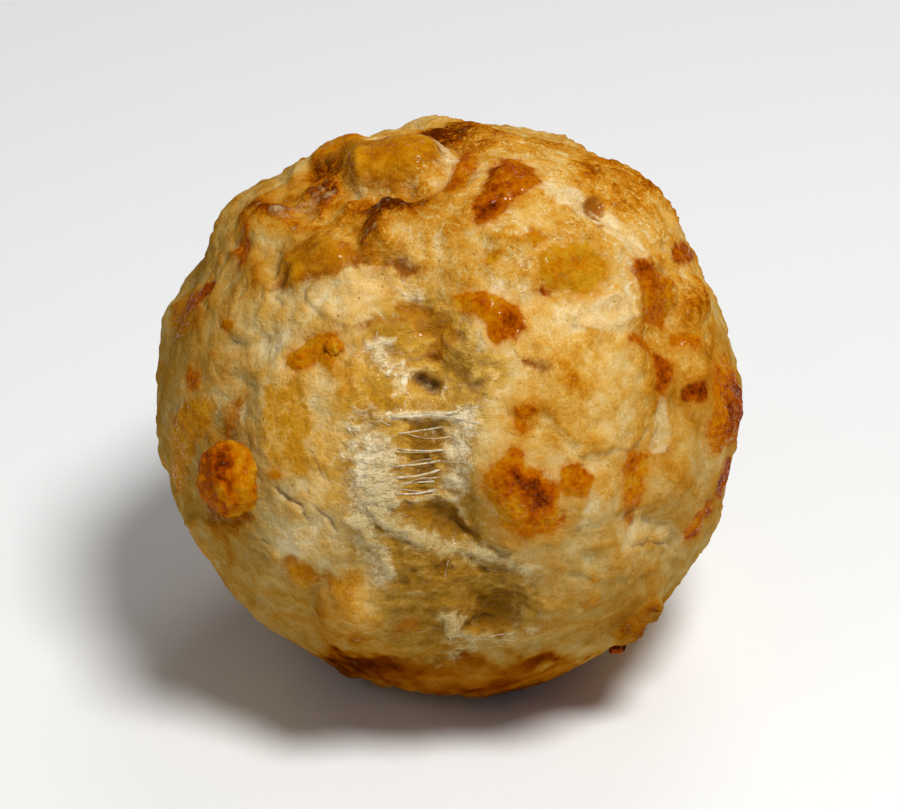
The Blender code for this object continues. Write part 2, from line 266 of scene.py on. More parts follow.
# where the dough is baked more or less than the rest: strength, width of the soft edge, shape
goldenFront = [
    (0.06, 7.0, [(-2.0, 27.0), (-0.5, 23.6), (6.5, 20.6), (12.5, 18.4), (17.0, 14.0), (22.0, 13.0),
                (27.0, 18.0), (20.0, 30.0), (0.0, 31.0)]),
    (0.22, 2.2, [(-0.4, 25.8, 0.8), (2.6, 26.9, 1.0), (6.0, 27.4, 0.8)]),
    (0.2, 1.6, [(9.8, 25.4, 0.8), (12.0, 24.6, 0.6)]),
    (0.2, 2.4, [(13.4, 22.4, 1.2), (17.5, 19.5, 1.2)]),
    (0.36, 1.0, [(-1.9, 26.4, 0.3), (-1.7, 25.4, 0.3), (-0.9, 24.4, 0.3)]),
    (0.35, 2.0, [(-6.6, 13.4, 0.4), (-7.2, 14.8, 1.2), (-6.9, 16.6, 1.4), (-5.6, 17.8, 0.9),
                 (-3.4, 18.0, 0.3)]),
    (0.36, 2.4, [(-9.9, 22.6, 0.8), (-11.0, 20.5, 0.8)]),
    (0.12, 4.0, [(-12.6, 17.6, 1.5), (-7.0, 18.6, 1.0), (-2.0, 17.0, 1.0)]),
    (0.13, 3.5, [(-5.0, 20.0, 1.5), (0.4, 17.0, 1.5), (0.4, 11.0, 1.0)]),
    (0.22, 2.5, [(-1.6, 25.6, 1.0), (2.0, 24.6, 1.0)]),
    (-0.15, 4.0, [(-17.6, 6.0, 1.5), (-18.6, 0.0, 1.0)]),
    (-0.2, 4.0, [(-16.6, -8.6, 2.0), (-12.4, -12.6, 2.0)]),
    (-0.08, 3.5, [(12.4, 0.4, 2.0)]),
    (-0.2, 3.0, [(-11.0, 1.0, 1.5)]),
    (-0.1, 2.5, [(12.6, 15.0, 1.0), (15.0, 11.6, 0.6)]),
    (0.1, 3.0, [(19.0, 5.6, 1.0), (21.0, 1.0, 1.0)]),
    (0.12, 2.5, [(-4.6, 7.4, 0.8), (-6.6, 4.4, 0.8)]),
    (0.1, 3.0, [(-19.6, -9.6, 1.0), (-18.6, -13.6, 1.0)]),
    (0.12, 2.5, [(-11.6, 16.6, 1.0), (-17.6, 12.6, 0.8)]),
    (-0.14, 3.0, [(17.6, -12.6, 1.5)]),
    (0.1, 3.0, [(19.6, -1.0, 1.0), (18.6, -6.0, 1.0)]),
    (0.25, 1.2, [(-8.2, 24.0, 0.3), (-12.7, 21.4, 0.3)]),
    (0.3, 2.4, [(-18.2, 17.0, 0.8), (-16.1, 18.0, 0.8)]),
    (0.16, 3.0, [(-14.0, 17.4, 1.5), (-11.0, 19.0, 1.0)]),
    (0.1, 5.0, [(-21.0, 4.5, 2.0), (-19.0, 9.0, 1.5)]),
    (0.12, 3.5, [(21.6, 12.6, 1.4), (21.8, 3.0, 1.5)]),
    (0.2, 2.2, [(-24.4, 8.4, 1.4)]),
    (0.16, 3.5, [(-11.6, 0.8, 1.5), (-8.6, 0.9, 1.0)]),
    (0.32, 1.6, [(-9.4, 2.6, 0.6), (-8.4, 0.4, 0.8), (-6.0, 0.2, 0.4)]),
    (0.26, 1.7, [(10.3, 4.4, 0.4), (10.8, 2.6, 0.9)]),
    (0.16, 4.0, [(15.0, 1.5, 1.5), (9.0, -1.0, 1.0)]),
    (0.22, 2.0, [(6.6, -1.4, 1.2)]),
    (0.16, 2.4, [(11.0, 12.5, 2.6)]),
    (0.28, 3.0, [(24.6, 4.6, 1.2), (23.4, 0.6, 0.9)]),
    (0.2, 2.4, [(17.8, 6.2, 0.6), (19.4, 3.0, 0.8)]),
    (0.2, 2.0, [(22.4, 8.0, 0.6)]),
    (0.14, 2.0, [(19.7, -5.7, 0.4)]),
    (0.14, 2.0, [(21.6, -6.8, 0.5)]),
    (0.14, 3.5, [(-9.1, -19.2, 2.0)]),
    (0.2, 1.6, [(-20.2, -10.4, 1.6)]),
    (0.2, 1.6, [(17.0, -19.6, 1.6)]),
]

# painted shade made stronger here, or weaker: strength, soft edge, shape
paintedShadeFront = [
    (-0.9, 4.0, [(-11.6, 1.0, 2.0)]),
    (-0.2, 3.0, [(-22.6, 2.0, 1.0)]),
    (-0.3, 3.0, [(-10.6, -3.0, 1.0)]),
    (-0.55, 4.0, [(-11.0, -6.0, 1.5), (-13.0, -12.0, 2.0)]),
    (-0.8, 3.5, [(-7.6, -17.6, 1.5)]),
    (-0.4, 2.5, [(7.4, -17.6, 1.0)]),
    (-0.2, 3.5, [(-18.4, 1.0, 1.5)]),
    (-0.3, 3.0, [(18.0, -12.6, 1.5)]),
    (0.35, 3.0, [(-6.0, 18.0, 1.5), (0.0, 17.0, 1.5)]),
    (0.35, 3.0, [(0.5, 11.6, 1.5)]),
    (0.7, 3.0, [(-13.0, 12.6, 1.5)]),
    (0.3, 3.0, [(-18.6, 12.4, 1.0)]),
    (0.3, 3.0, [(0.0, 25.6, 1.5)]),
    (-0.3, 3.0, [(-24.0, -1.0, 1.5)]),
    (0.5, 3.0, [(-6.0, 6.4, 1.0)]),
    (0.5, 3.0, [(20.0, 0.6, 1.0), (25.0, -1.0, 1.5)]),
    (0.2, 3.0, [(18.0, 6.0, 1.0), (17.0, -6.0, 1.0)]),
    (0.55, 3.0, [(-18.6, -8.0, 1.0), (-19.0, -13.0, 1.0)]),
    (0.25, 3.0, [(0.0, -18.6, 1.5), (0.0, -25.0, 1.5)]),
    (0.3, 2.5, [(-3.0, -24.6, 1.0), (3.0, -24.6, 1.0)]),
    (0.25, 2.5, [(6.0, -6.0, 2.0)]),
    (0.2, 3.0, [(0.0, -1.0, 1.0), (0.0, -12.0, 1.5)]),
]

# swellings and hollows of the dough: rise, soft edge, shape
swellsFront = [
    (1.3, 2.0, [(-17.4, 16.4, 1.0), (-16.4, 17.4, 0.8)]),
    (1.0, 2.0, [(-13.6, 12.2, 0.8), (-11.0, 13.6, 1.0)]),
    (1.5, 1.8, [(-5.6, 14.8, 1.0), (-4.8, 16.4, 1.0)]),
    (1.2, 1.8, [(-7.6, 22.0, 1.0), (-3.4, 22.6, 1.2)]),
    (0.8, 1.2, [(-12.0, 22.6, 0.4), (-8.8, 24.4, 0.5)]),
    (0.7, 1.4, [(-14.2, 21.6, 0.6)]),
    (-0.9, 1.5, [(-15.6, 18.8, 0.3), (-11.6, 17.4, 0.5), (-9.6, 20.0, 0.3)]),
    (-0.6, 1.2, [(-15.8, 14.2, 0.2), (-16.0, 12.0, 0.3)]),
    (-0.9, 1.4, [(-8.6, 19.4, 0.3), (-3.0, 19.2, 0.3), (-0.6, 20.8, 0.2)]),
    (-0.8, 1.5, [(-1.4, 14.0, 0.5), (-0.6, 12.0, 0.5)]),
    (0.5, 1.8, [(5.4, 14.6, 0.8)]),
    (0.4, 1.6, [(9.6, 16.6, 0.8), (12.4, 15.4, 0.6)]),
    (0.5, 1.8, [(9.6, 12.4, 1.2)]),
    (0.5, 2.0, [(8.0, 7.0, 0.8)]),
    (-0.4, 1.6, [(9.6, 10.0, 0.3), (7.4, 9.6, 0.4)]),
    (0.5, 3.0, [(11.0, 2.6, 1.5), (12.0, -2.0, 1.5)]),
    (0.7, 1.6, [(22.6, 9.8, 0.8)]),
    (0.6, 1.6, [(22.4, 5.4, 0.6)]),
    (0.6, 2.0, [(21.6, -3.0, 1.2), (21.0, -6.0, 1.0)]),
    (-0.5, 1.4, [(20.4, 8.0, 0.3), (21.4, 3.0, 0.3), (21.8, -0.4, 0.3)]),
    (-0.5, 1.4, [(20.0, -9.6, 0.3), (17.0, -12.6, 0.4), (12.4, -13.4, 0.3)]),
    (0.5, 2.4, [(11.6, -8.4, 1.2)]),
    (0.5, 2.2, [(10.6, -17.6, 1.2)]),
    (0.8, 2.4, [(-9.6, -19.0, 1.4)]),
    (0.4, 2.6, [(-15.0, -16.6, 1.4)]),
    (-0.4, 1.6, [(-13.2, -19.6, 0.4), (-12.4, -16.0, 0.4)]),
    (0.5, 2.4, [(-13.0, 7.6, 1.2)]),
    (-0.4, 1.8, [(-17.6, 8.6, 0.4), (-16.4, 4.4, 0.5)]),
    (0.5, 2.6, [(-8.6, 1.0, 1.2)]),
    (0.4, 2.4, [(-23.0, -3.0, 1.4)]),
    (-0.4, 1.8, [(-18.6, -3.8, 0.5), (-19.0, 1.6, 0.4)]),
]

# pale flakes of crust that stand up at their edge: rise, how pale, shape
flakesFront = [
    (0.55, 0.8, [(-13.1, 10.7), (-10.5, 11.4), (-8.9, 12.4), (-6.9, 12.8), (-5.0, 12.2), (-4.6, 10.7),
                 (-6.1, 9.4), (-8.3, 8.2), (-9.4, 6.9), (-10.5, 7.6), (-12.8, 9.4)]),
    (0.65, 1.0, [(10.3, 8.3), (11.6, 9.8), (13.8, 10.0), (14.9, 10.5), (16.4, 9.8), (16.9, 8.3),
                 (15.8, 6.9), (13.4, 6.4), (11.4, 6.3)]),
    (0.4, 0.4, [(15.3, 12.4, 0.4), (17.0, 11.3, 0.5), (17.3, 9.4, 0.5), (16.9, 7.4, 0.4)]),
    (0.5, 0.75, [(-0.6, 6.9), (1.3, 7.4), (3.5, 6.5), (4.4, 5.0), (2.7, 3.9), (0.5, 4.5), (-0.8, 5.4)]),
    (0.35, 0.4, [(7.0, 6.2), (9.4, 5.6), (9.6, 4.4), (8.4, 3.5), (6.0, 3.9), (5.6, 5.2)]),
    (0.5, 0.0, [(8.4, 3.8), (9.4, 5.8), (12.0, 6.5), (15.0, 6.6), (17.0, 6.2), (18.0, 3.0), (18.2, 0.0),
                (17.2, -3.6), (12.0, -4.6), (8.5, -1.0)]),
    (0.45, 0.2, [(-2.6, 16.4), (1.0, 17.4), (3.4, 15.2), (6.4, 14.6), (7.6, 12.0), (5.0, 10.2), (0.4, 10.8),
                 (-2.4, 12.4)]),
    (0.4, 0.2, [(9.0, 16.6), (11.6, 17.4), (14.6, 15.4), (16.0, 12.8), (14.2, 12.4), (12.6, 14.8),
                (9.4, 15.0)]),
    (0.4, 0.1, [(19.4, 12.2), (22.6, 12.0), (24.0, 8.4), (22.4, 6.6), (20.4, 7.6), (19.6, 10.0)]),
    (0.4, 0.1, [(-21.4, 13.8), (-17.6, 14.4), (-15.6, 10.6), (-16.4, 6.2), (-19.4, 5.4), (-22.0, 9.6)]),
    (0.4, 0.15, [(-25.0, -10.0), (-18.4, -11.0), (-15.0, -14.0), (-17.4, -17.6), (-22.0, -16.0)]),
    (0.4, 0.1, [(11.0, -12.4), (15.6, -12.2), (20.4, -11.8), (19.0, -15.4), (13.6, -16.4), (10.6, -14.8)]),
    (1.1, 0.4, [(14.2, -21.0), (16.4, -19.4), (18.6, -17.1), (19.5, -18.3), (17.9, -20.7), (15.6, -22.3)]),
    (0.5, 0.3, [(-12.4, -17.2), (-9.9, -16.4), (-7.6, -18.0), (-6.0, -20.3), (-7.4, -21.6), (-11.0, -21.0)]),
    (0.45, 0.35, [(-8.2, 13.6), (-7.4, 17.0), (-5.2, 18.3), (-3.0, 17.4), (-1.6, 14.6), (-3.4, 12.9),
                  (-6.4, 12.6)]),
    (0.35, 0.5, [(-16.2, 17.6), (-14.0, 19.0), (-11.2, 21.2), (-10.0, 20.0), (-12.4, 17.6), (-15.2, 15.8)]),
]

# pale ragged lines where the crust parted: half width is in the stroke, first number is the depth
partingsFront = [
    (0.3, [(8.3, 20.0, 0.2), (10.1, 19.3, 0.5), (11.6, 19.0, 0.45), (12.7, 17.8, 0.35), (14.2, 16.8, 0.5),
           (16.2, 15.2, 0.45), (17.1, 13.7, 0.4)]),
    (0.35, [(19.2, 0.4, 0.2), (19.0, -1.6, 0.45), (18.6, -3.9, 0.3)]),
    (0.1, [(20.2, -12.2, 0.9), (21.4, -13.2, 0.8)]),
    (0.1, [(-1.0, 23.2, 0.4), (0.4, 21.8, 0.3)]),
]

# thin cracks: depth, stroke
cracksFront = [
    (0.35, [(-15.7, -7.7, 0.08), (-14.2, -8.8, 0.12), (-13.1, -8.8, 0.1), (-12.6, -10.3, 0.06)]),
    (0.3, [(-11.7, -8.8, 0.08), (-10.6, -10.1, 0.12), (-10.2, -11.4, 0.06)]),
    (0.22, [(-18.3, -12.0, 0.06), (-16.5, -12.7, 0.08)]),
    (0.5, [(-1.8, 25.6, 0.1), (-1.4, 24.2, 0.2), (0.2, 23.9, 0.15), (1.5, 23.5, 0.1)]),
    (0.3, [(-14.4, 12.2, 0.06), (-16.0, 10.0, 0.1)]),
    (0.25, [(16.8, -13.2, 0.06), (18.2, -12.4, 0.1), (19.6, -12.8, 0.06)]),
    (0.3, [(18.2, 12.9, 0.06), (19.4, 12.6, 0.08), (20.6, 10.6, 0.08), (20.6, 8.6, 0.06)]),
    (0.25, [(-12.4, -4.2, 0.04), (-11.2, -6.6, 0.08)]),
]

# the stringy tear: its outline, the pits in it and the white masses of its fibres
tearOutline = [(-8.3, 6.9), (-5.4, 9.8), (-1.7, 10.9), (0.1, 9.8), (1.6, 7.6), (4.2, 5.0), (6.0, 2.6),
               (4.2, 0.7), (3.5, -1.8), (2.7, -4.8), (2.4, -7.7), (4.2, -12.2), (8.3, -14.7), (9.4, -18.8),
               (6.4, -21.8), (0.5, -23.6), (-4.6, -23.6), (-6.4, -20.3), (-7.6, -15.9), (-9.8, -10.3),
               (-10.7, -5.5), (-10.2, -1.1), (-8.6, 1.9), (-8.0, 3.6)]
pitsFront = [   # depth, how much painted shadow, shape
    (0.6, 0.5, [(-4.3, -1.2), (-1.2, -1.0), (-1.1, -2.9), (-1.4, -5.5), (-2.1, -7.6), (-3.2, -8.1),
                (-3.9, -5.5), (-4.2, -2.6)]),
    (1.2, 0.9, [(-2.9, 2.1, 0.8), (-1.6, 1.3, 0.9)]),
    (0.5, 0.3, [(-0.4, 3.4, 0.6), (1.6, 2.6, 0.5)]),
    (0.7, 0.5, [(1.8, 1.6, 0.35), (3.1, 2.1, 0.45)]),
    (0.6, 0.4, [(-2.8, 4.2, 0.5), (-0.8, 4.0, 0.6)]),
    (0.7, 0.3, [(-5.0, -9.0), (-1.3, -8.5), (0.5, -9.6), (2.4, -11.1), (4.2, -12.3), (1.6, -12.2),
                 (-1.0, -11.1), (-3.9, -10.0)]),
    (0.8, 0.8, [(-2.1, -15.3), (-1.9, -14.7), (-0.8, -14.3), (0.7, -14.7), (0.7, -15.3)]),
    (0.4, 0.5, [(3.2, -14.9, 0.3), (4.8, -14.8, 0.3)]),
    (0.7, 0.3, [(2.4, -17.7), (4.2, -16.8), (6.4, -17.3), (7.0, -18.8), (6.1, -20.3), (3.5, -21.2),
                (1.6, -20.7), (2.0, -19.2)]),
    (1.0, 1.5, [(1.9, -20.5, 0.2), (2.6, -20.0, 0.4), (3.6, -19.7, 0.2)]),
]
ridgesFront = [   # rise, stroke: lips, crests and glassy bumps in the tear
    (0.3, [(-5.6, -0.8, 0.15), (-2.8, -0.95, 0.25), (0.2, -0.8, 0.2)]),
    (0.45, [(-5.4, -8.8, 0.2), (-3.2, -8.3, 0.3), (-1.3, -7.9, 0.3), (0.1, -8.7, 0.3), (1.3, -10.3, 0.25),
            (3.1, -12.0, 0.3), (5.3, -12.6, 0.3)]),
    (0.25, [(-4.1, 1.8, 0.1), (-3.4, 3.1, 0.15), (-1.8, 2.7, 0.12), (-0.5, 1.8, 0.15), (-0.4, 0.6, 0.1)]),
    (0.5, [(0.3, -19.6, 0.8), (0.3, -21.0, 0.8)]),
    (0.3, [(1.6, -21.6, 0.3), (4.2, -21.4, 0.25), (7.2, -20.9, 0.3), (9.4, -19.9, 0.2)]),
    (0.3, [(-8.8, 3.6, 0.3), (-7.6, 5.6, 0.25), (-5.0, 6.0, 0.25)]),
    (0.3, [(-7.6, -9.6, 0.4), (-5.0, -11.0, 0.4), (-2.0, -12.2, 0.5), (1.6, -13.2, 0.4), (5.6, -13.8, 0.4)]),
    (0.25, [(-9.4, -10.6, 0.3), (-7.0, -12.6, 0.4), (-5.6, -14.8, 0.4)]),
]
whitesFront = [   # strength, soft edge, shape
    (0.7, 2.6, [(-8.0, -2.2, 1.0), (-7.2, -5.0, 1.4), (-7.6, -8.6, 1.0)]),
    (0.9, 1.6, [(-6.4, -5.4, 0.8), (-6.6, -7.6, 1.4), (-7.6, -8.8, 0.7)]),
    (0.95, 1.8, [(1.4, -1.2, 0.6), (1.0, -4.4, 0.7), (0.4, -7.0, 0.4)]),
    (0.5, 0.6, [(-5.4, -1.0, 0.15), (-2.6, -0.9, 0.25), (0.6, -1.0, 0.2), (2.8, 0.5, 0.15)]),
    (0.55, 1.4, [(-6.6, 5.0, 0.8), (-5.0, 3.6, 0.8), (-4.6, 1.6, 0.6)]),
    (0.9, 0.9, [(-4.6, 10.6, 0.5), (-2.6, 9.8, 0.3)]),
    (0.6, 1.3, [(-5.4, -10.4, 0.7), (-2.0, -12.4, 0.6), (2.0, -13.4, 0.4), (6.0, -14.4, 0.3)]),
    (0.75, 1.6, [(-8.0, -11.0, 0.6), (-7.2, -13.2, 0.9), (-6.2, -15.2, 0.5)]),
    (0.6, 1.0, [(0.3, -20.2, 1.2)]),
    (0.6, 1.2, [(0.5, -22.6, 0.6), (5.0, -21.9, 0.5), (8.6, -20.4, 0.4)]),
    (0.5, 2.0, [(7.6, -14.6, 1.0), (10.5, -15.4, 1.0)]),
    (0.4, 1.6, [(-17.0, 3.6, 1.0), (-14.5, 1.4, 0.4)]),
]

# ---- the skin

hiddenSides = {
    "seed": 21,
    "browned": 46,
    "melted": 15,
    "golden": 22,
    "flakes": 12,
    "cracks": 11,
    "swells": 26,
}


def cubeGrid(cuts):
    bm = bmesh.new()
    bmesh.ops.create_cube(bm, size=2.0)
    bmesh.ops.subdivide_edges(bm, edges=bm.edges[:], cuts=cuts, use_grid_fill=True)
    mesh = bpy.data.meshes.new("crust")
    bm.to_mesh(mesh)
    bm.free()
    return mesh


def meshPoints(mesh):
    flat = np.zeros(len(mesh.vertices) * 3)
    mesh.vertices.foreach_get("co", flat)
    return flat.reshape(-1, 3)


def meshLinks(mesh):
    flat = np.zeros(len(mesh.edges) * 2, int)
    mesh.edges.foreach_get("vertices", flat)
    return flat.reshape(-1, 2)


# each point takes half its own value and half the mean of its neighbours
def evenOut(values, links, passes):
    one, two = links[:, 0], links[:, 1]
    size = len(values)
    count = np.bincount(one, minlength=size) + np.bincount(two, minlength=size)
    for _ in range(passes):
        near = np.bincount(one, values[two], size) + np.bincount(two, values[one], size)
        values = 0.5 * values + 0.5 * near / count
    return values


def frameRadius(ways, middle):
    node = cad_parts["cheese_ball"]
    points = [tuple(vert.co * 1000) for vert in node.data.vertices]
    tree = BVHTree.FromPolygons(points, [tuple(face.vertices) for face in node.data.polygons])
    origin = Vector(middle)
    return np.array([tree.ray_cast(origin, Vector(way))[3] for way in ways])


class Skin:
    def __init__(self):
        self.mesh = cubeGrid(ball["gridCuts"])
        self.links = meshLinks(self.mesh)
        self.middle = np.array(ball["middle"])
        ways = np.tan(meshPoints(self.mesh) * math.pi / 4)
        ways /= np.linalg.norm(ways, axis=1)[:, None]
        ways += ball["frontPull"] * sideAxes(0, ball["seenFrom"])[2]
        self.ways = ways / np.linalg.norm(ways, axis=1)[:, None]
        radius = frameRadius(self.ways, self.middle)
        self.radius = evenOut(radius, self.links, ball["evenPasses"])
        self.points = self.ways * self.radius[:, None]
        self.masks = {}
        size = len(self.points)
        for name in ("browned", "melted", "pale", "cracked"):
            self.masks[name] = np.full(size, -2.0)
        for name in ("tone", "meltTone", "golden", "deepened", "base", "torn", "pit", "pitDark", "white",
                     "toast"):
            self.masks[name] = np.zeros(size)
        self.height = np.zeros(size)
        self.warp = [sum(reach * gradientNoise(self.points / wave, 40 + axis + 7 * index)
                         for index, (wave, reach) in enumerate(ball["warp"])) for axis in range(3)]
        self.warp = np.stack(self.warp, axis=1)

    # wavering (right, up) places on a side, for the points that a shape could reach
    def seen(self, face, high, shape, margin):
        right, up, out = sideAxes(face, high)
        xs = [stop[0] for stop in shape]
        ys = [stop[1] for stop in shape]
        reach = margin + (max(stop[2] for stop in shape) if len(shape[0]) == 3 else 0)
        u, v = self.points @ right, self.points @ up
        near = (u > min(xs) - reach) & (u < max(xs) + reach)
        near &= (v > min(ys) - reach) & (v < max(ys) + reach)
        near &= self.points @ out > ball["behind"]
        where = np.nonzero(near)[0]
        warped = self.points[where] + self.warp[where]
        return where, warped @ right, warped @ up

    # shapes close up where they would run on round the edge of their side
    def lay(self, side, shape, margin=2.5):
        where, u, v = self.seen(side[0], side[1], shape, margin)
        start, most = ball["closing"]
        beyond = np.clip(start - self.points[where] @ sideAxes(*side)[2], 0, most)
        return where, insideShape(u, v, shape) - beyond

    def brown(self, side, tone, rise, shape):
        where, depth = self.lay(side, shape)
        closer = depth > self.masks["browned"][where]
        where, depth = where[closer], depth[closer]
        self.masks["browned"][where] = depth
        self.masks["tone"][where] = tone
        points = self.points[where]
        crag = 0.6 + 0.8 * knobNoise(points, 0.95, 5) + 0.3 * softNoise(points, 0.8, 9)
        self.height[where] += 0.65 * rise * ease(depth, -0.3, 1.0) * crag

    def darken(self, side, amount, shape):
        where, depth = self.lay(side, shape)
        self.masks["tone"][where] += amount * ease(depth, -0.5, 0.5)

    def melt(self, side, tone, rise, shape):
        where, depth = self.lay(side, shape)
        closer = depth > self.masks["melted"][where]
        where, depth = where[closer], depth[closer]
        self.masks["melted"][where] = depth
        self.masks["meltTone"][where] = tone
        self.height[where] += rise * ease(depth, -0.2, 0.8)

    def gild(self, side, strength, fade, shape):
        where, depth = self.lay(side, shape, fade + 1)
        self.masks["golden"][where] += strength * ease(depth, -fade, fade * 0.4)

    # painted shade: strengthens or weakens the painted shade inside a shape
    def shade(self, side, strength, fade, shape):
        where, depth = self.lay(side, shape, fade + 1)
        self.masks["deepened"][where] += strength * ease(depth, -fade, fade * 0.4)

    def swell(self, side, rise, fade, shape):
        where, depth = self.lay(side, shape, fade + 1)
        self.height[where] += rise * ease(depth, -fade, fade * 0.4)

    def flake(self, side, rise, pale, shape):
        where, depth = self.lay(side, shape)
        lumpy = 0.75 + 0.5 * softNoise(self.points[where], 1.6, 15, 2)
        shown = pale * ease(depth, -0.4, 0.5) * np.clip(1.2 - depth * 0.2, 0.4, 1) * lumpy
        self.masks["pale"][where] = np.maximum(self.masks["pale"][where], shown)
        self.height[where] += rise * lumpy * ease(depth, -0.25, 0.4) * (1 - 0.6 * ease(depth, 0.2, 2.6))

    def part(self, side, depthOf, shape):
        where, depth = self.lay(side, shape)
        self.masks["pale"][where] = np.maximum(self.masks["pale"][where], 1.5 * ease(depth, -0.9, 0.2))
        self.height[where] -= depthOf * ease(depth, -0.25, 0.2)
        self.height[where] += 0.3 * depthOf * ease(depth, -0.9, -0.35) * (1 - ease(depth, -0.35, 0.0))

    def crack(self, side, depthOf, shape):
        where, depth = self.lay(side, shape)
        # where the painted shade along the crack goes
        self.masks["cracked"][where] = np.maximum(self.masks["cracked"][where], depth)
        self.height[where] -= depthOf * ease(depth, -0.3, 0.08)


front = (0, ball["seenFrom"])


# everything of the front, in the order that it lies on the dough
def dressFront(skin):
    for dress, rows in ((skin.swell, swellsFront), (skin.gild, goldenFront), (skin.shade, paintedShadeFront),
                        (skin.flake, flakesFront), (skin.melt, meltedFront), (skin.brown, brownedFront),
                        (skin.darken, darkerFront), (skin.part, partingsFront), (skin.crack, cracksFront)):
        for row in rows:
            dress(front, *row)


# the tear: a sunken stringy field with pits, lips and white masses
def openTear(skin):
    where, depth = skin.lay(front, tearOutline, 4)
    torn = ease(depth, -1.2, 1.6)
    skin.masks["torn"][where] = torn
    right, up, out = sideAxes(*front)
    points = skin.points[where]
    across = np.stack((points @ right * 0.45, points @ up * 1.5, points @ out * 0.8), axis=1)
    fibres = crestNoise(across, 1.1, 61) * 0.16 + crestNoise(points, 2.1, 66) * 0.34
    skin.height[where] += torn * (fibres - 0.3) - 0.2 * ease(depth, -0.4, 3.2)
    for rise, shape in ridgesFront:
        where, depth = skin.lay(front, shape)
        skin.height[where] += rise * ease(depth, -0.25, 0.3)
        skin.masks["white"][where] += 0.6 * ease(depth, -0.3, 0.2)
    for depthOf, shadowOf, shape in pitsFront:
        where, depth = skin.lay(front, shape)
        small = len(shape[0]) == 3      # pits in strokes are small and have sharper lips
        depth = depth + (0.25 if small else 0.6) * softNoise(skin.points[where], 1.6, 90, 3)
        inside = ease(depth, -0.35, 0.7) if small else ease(depth, -0.6, 1.2)
        skin.height[where] -= 0.8 * depthOf * inside
        skin.masks["pit"][where] = np.maximum(skin.masks["pit"][where], ease(depth, -0.5, 0.6))
        # painted shadow deep in the pit
        skin.masks["pitDark"][where] = np.maximum(skin.masks["pitDark"][where], shadowOf * inside)
    for strength, fade, shape in whitesFront:
        where, depth = skin.lay(front, shape, fade + 1)
        skin.masks["white"][where] += strength * ease(depth, -fade, fade * 0.4)
    skin.masks["white"] = np.clip(skin.masks["white"], 0, 1) * (1 - 0.7 * skin.masks["pit"])


# a random side whose middle is well away from the front
def hiddenSide(random, edge):
    while True:
        way = random.normal(size=3)
        way /= np.linalg.norm(way)
        if way @ sideAxes(*front)[2] < edge and way[2] > -0.8:
            return (math.degrees(math.atan2(way[0], -way[1])), math.degrees(math.asin(way[2])))


def dressHidden(skin):
    random = np.random.default_rng(hiddenSides["seed"])
    for _ in range(hiddenSides["swells"]):
        size = random.uniform(1.5, 4.5)
        skin.swell(hiddenSide(random, -0.1), random.uniform(-0.7, 1.0), 0.5 * size + 0.8,
                   roughOval(random, size, size * random.uniform(0.3, 0.8)))
    for _ in range(hiddenSides["golden"]):
        size = random.uniform(1.0, 5.5)
        skin.gild(hiddenSide(random, 0.05), random.uniform(0.12, 0.32), size,
                  roughOval(random, size, size * random.uniform(0.4, 0.9)))
    for _ in range(hiddenSides["flakes"]):
        size = random.uniform(2.2, 5.0)
        skin.flake(hiddenSide(random, 0.0), random.uniform(0.25, 0.6), random.uniform(0.2, 0.9),
                   roughOval(random, size, size * random.uniform(0.35, 0.7)))
    for _ in range(hiddenSides["melted"]):
        size = random.uniform(1.4, 4.2)
        skin.melt(hiddenSide(random, -0.02), random.uniform(0.25, 0.7), random.uniform(-0.1, 0.3),
                  roughOval(random, size, size * random.uniform(0.3, 0.8)))
    for index in range(hiddenSides["browned"]):
        size = random.uniform(0.35, 1.0) if index % 2 else random.uniform(1.1, 3.0)
        skin.brown(hiddenSide(random, -0.02), random.uniform(0.25, 0.85), 0.1 + 0.13 * size,
                   roughOval(random, size, size * random.uniform(0.45, 0.95)))
    for _ in range(hiddenSides["cracks"]):
        turn, x, y = random.uniform(0, 6.3), 0.0, 0.0
        stroke = [(x, y, 0.05)]
        for step in range(int(random.integers(3, 6))):
            turn += random.uniform(-0.9, 0.9)
            x, y = x + 1.7 * math.cos(turn), y + 1.7 * math.sin(turn)
            stroke.append((x, y, random.uniform(0.06, 0.16)))
        skin.crack(hiddenSide(random, 0.0), random.uniform(0.2, 0.4), stroke)


# the browned underside: its middle is tipped to the front, and the foot is browned as well
underside = {"way": (0.02, -0.5, -0.86), "edge": 0.85, "foot": 0.8, "fade": 0.05}
capWay = (0.36, 0.1, 0.93)
litWay = (0.26, -0.35, 0.9)    # the painted shade is least facing this way, the key lamp's, and deepens away from it


# browning that follows the oven: the cap on top, the tray below; also painted shade that deepens away from
# the key lamp
def toastCrust(skin):
    waver = softNoise(skin.points, 7.0, 80, 3)
    small = softNoise(skin.points, 2.2, 84, 3)
    tipped = skin.ways @ (np.array(underside["way"]) / np.linalg.norm(underside["way"]))
    below = np.maximum(tipped - underside["edge"], -skin.ways[:, 2] - underside["foot"])
    cap = skin.ways @ (np.array(capWay) / np.linalg.norm(capWay))
    toast = 0.35 + 0.08 * waver + 0.07 * small
    toast += 0.1 * ease(cap + 0.1 * waver, 0.45, 0.95)
    base = ease(below + 0.02 * waver + 0.03 * small, 0.0, underside["fade"])
    toast += base * (0.42 + 0.07 * small + 0.1 * waver)
    # painted shade: the dough is darkened facing away from the key lamp, a little less at the back
    pale = skin.ways @ (np.array(litWay) / np.linalg.norm(litWay))
    ahead = skin.ways @ sideAxes(*front)[2]
    deepened = 1 - ease(pale + 0.05 * waver, 0.2, 0.88)
    skin.masks["deepened"] = deepened * (0.6 + 0.4 * ease(ahead, -0.3, 0.3))
    skin.masks["toast"] = toast
    skin.masks["cap"] = ease(cap + 0.08 * waver, 0.5, 0.85)
    skin.masks["base"] = base


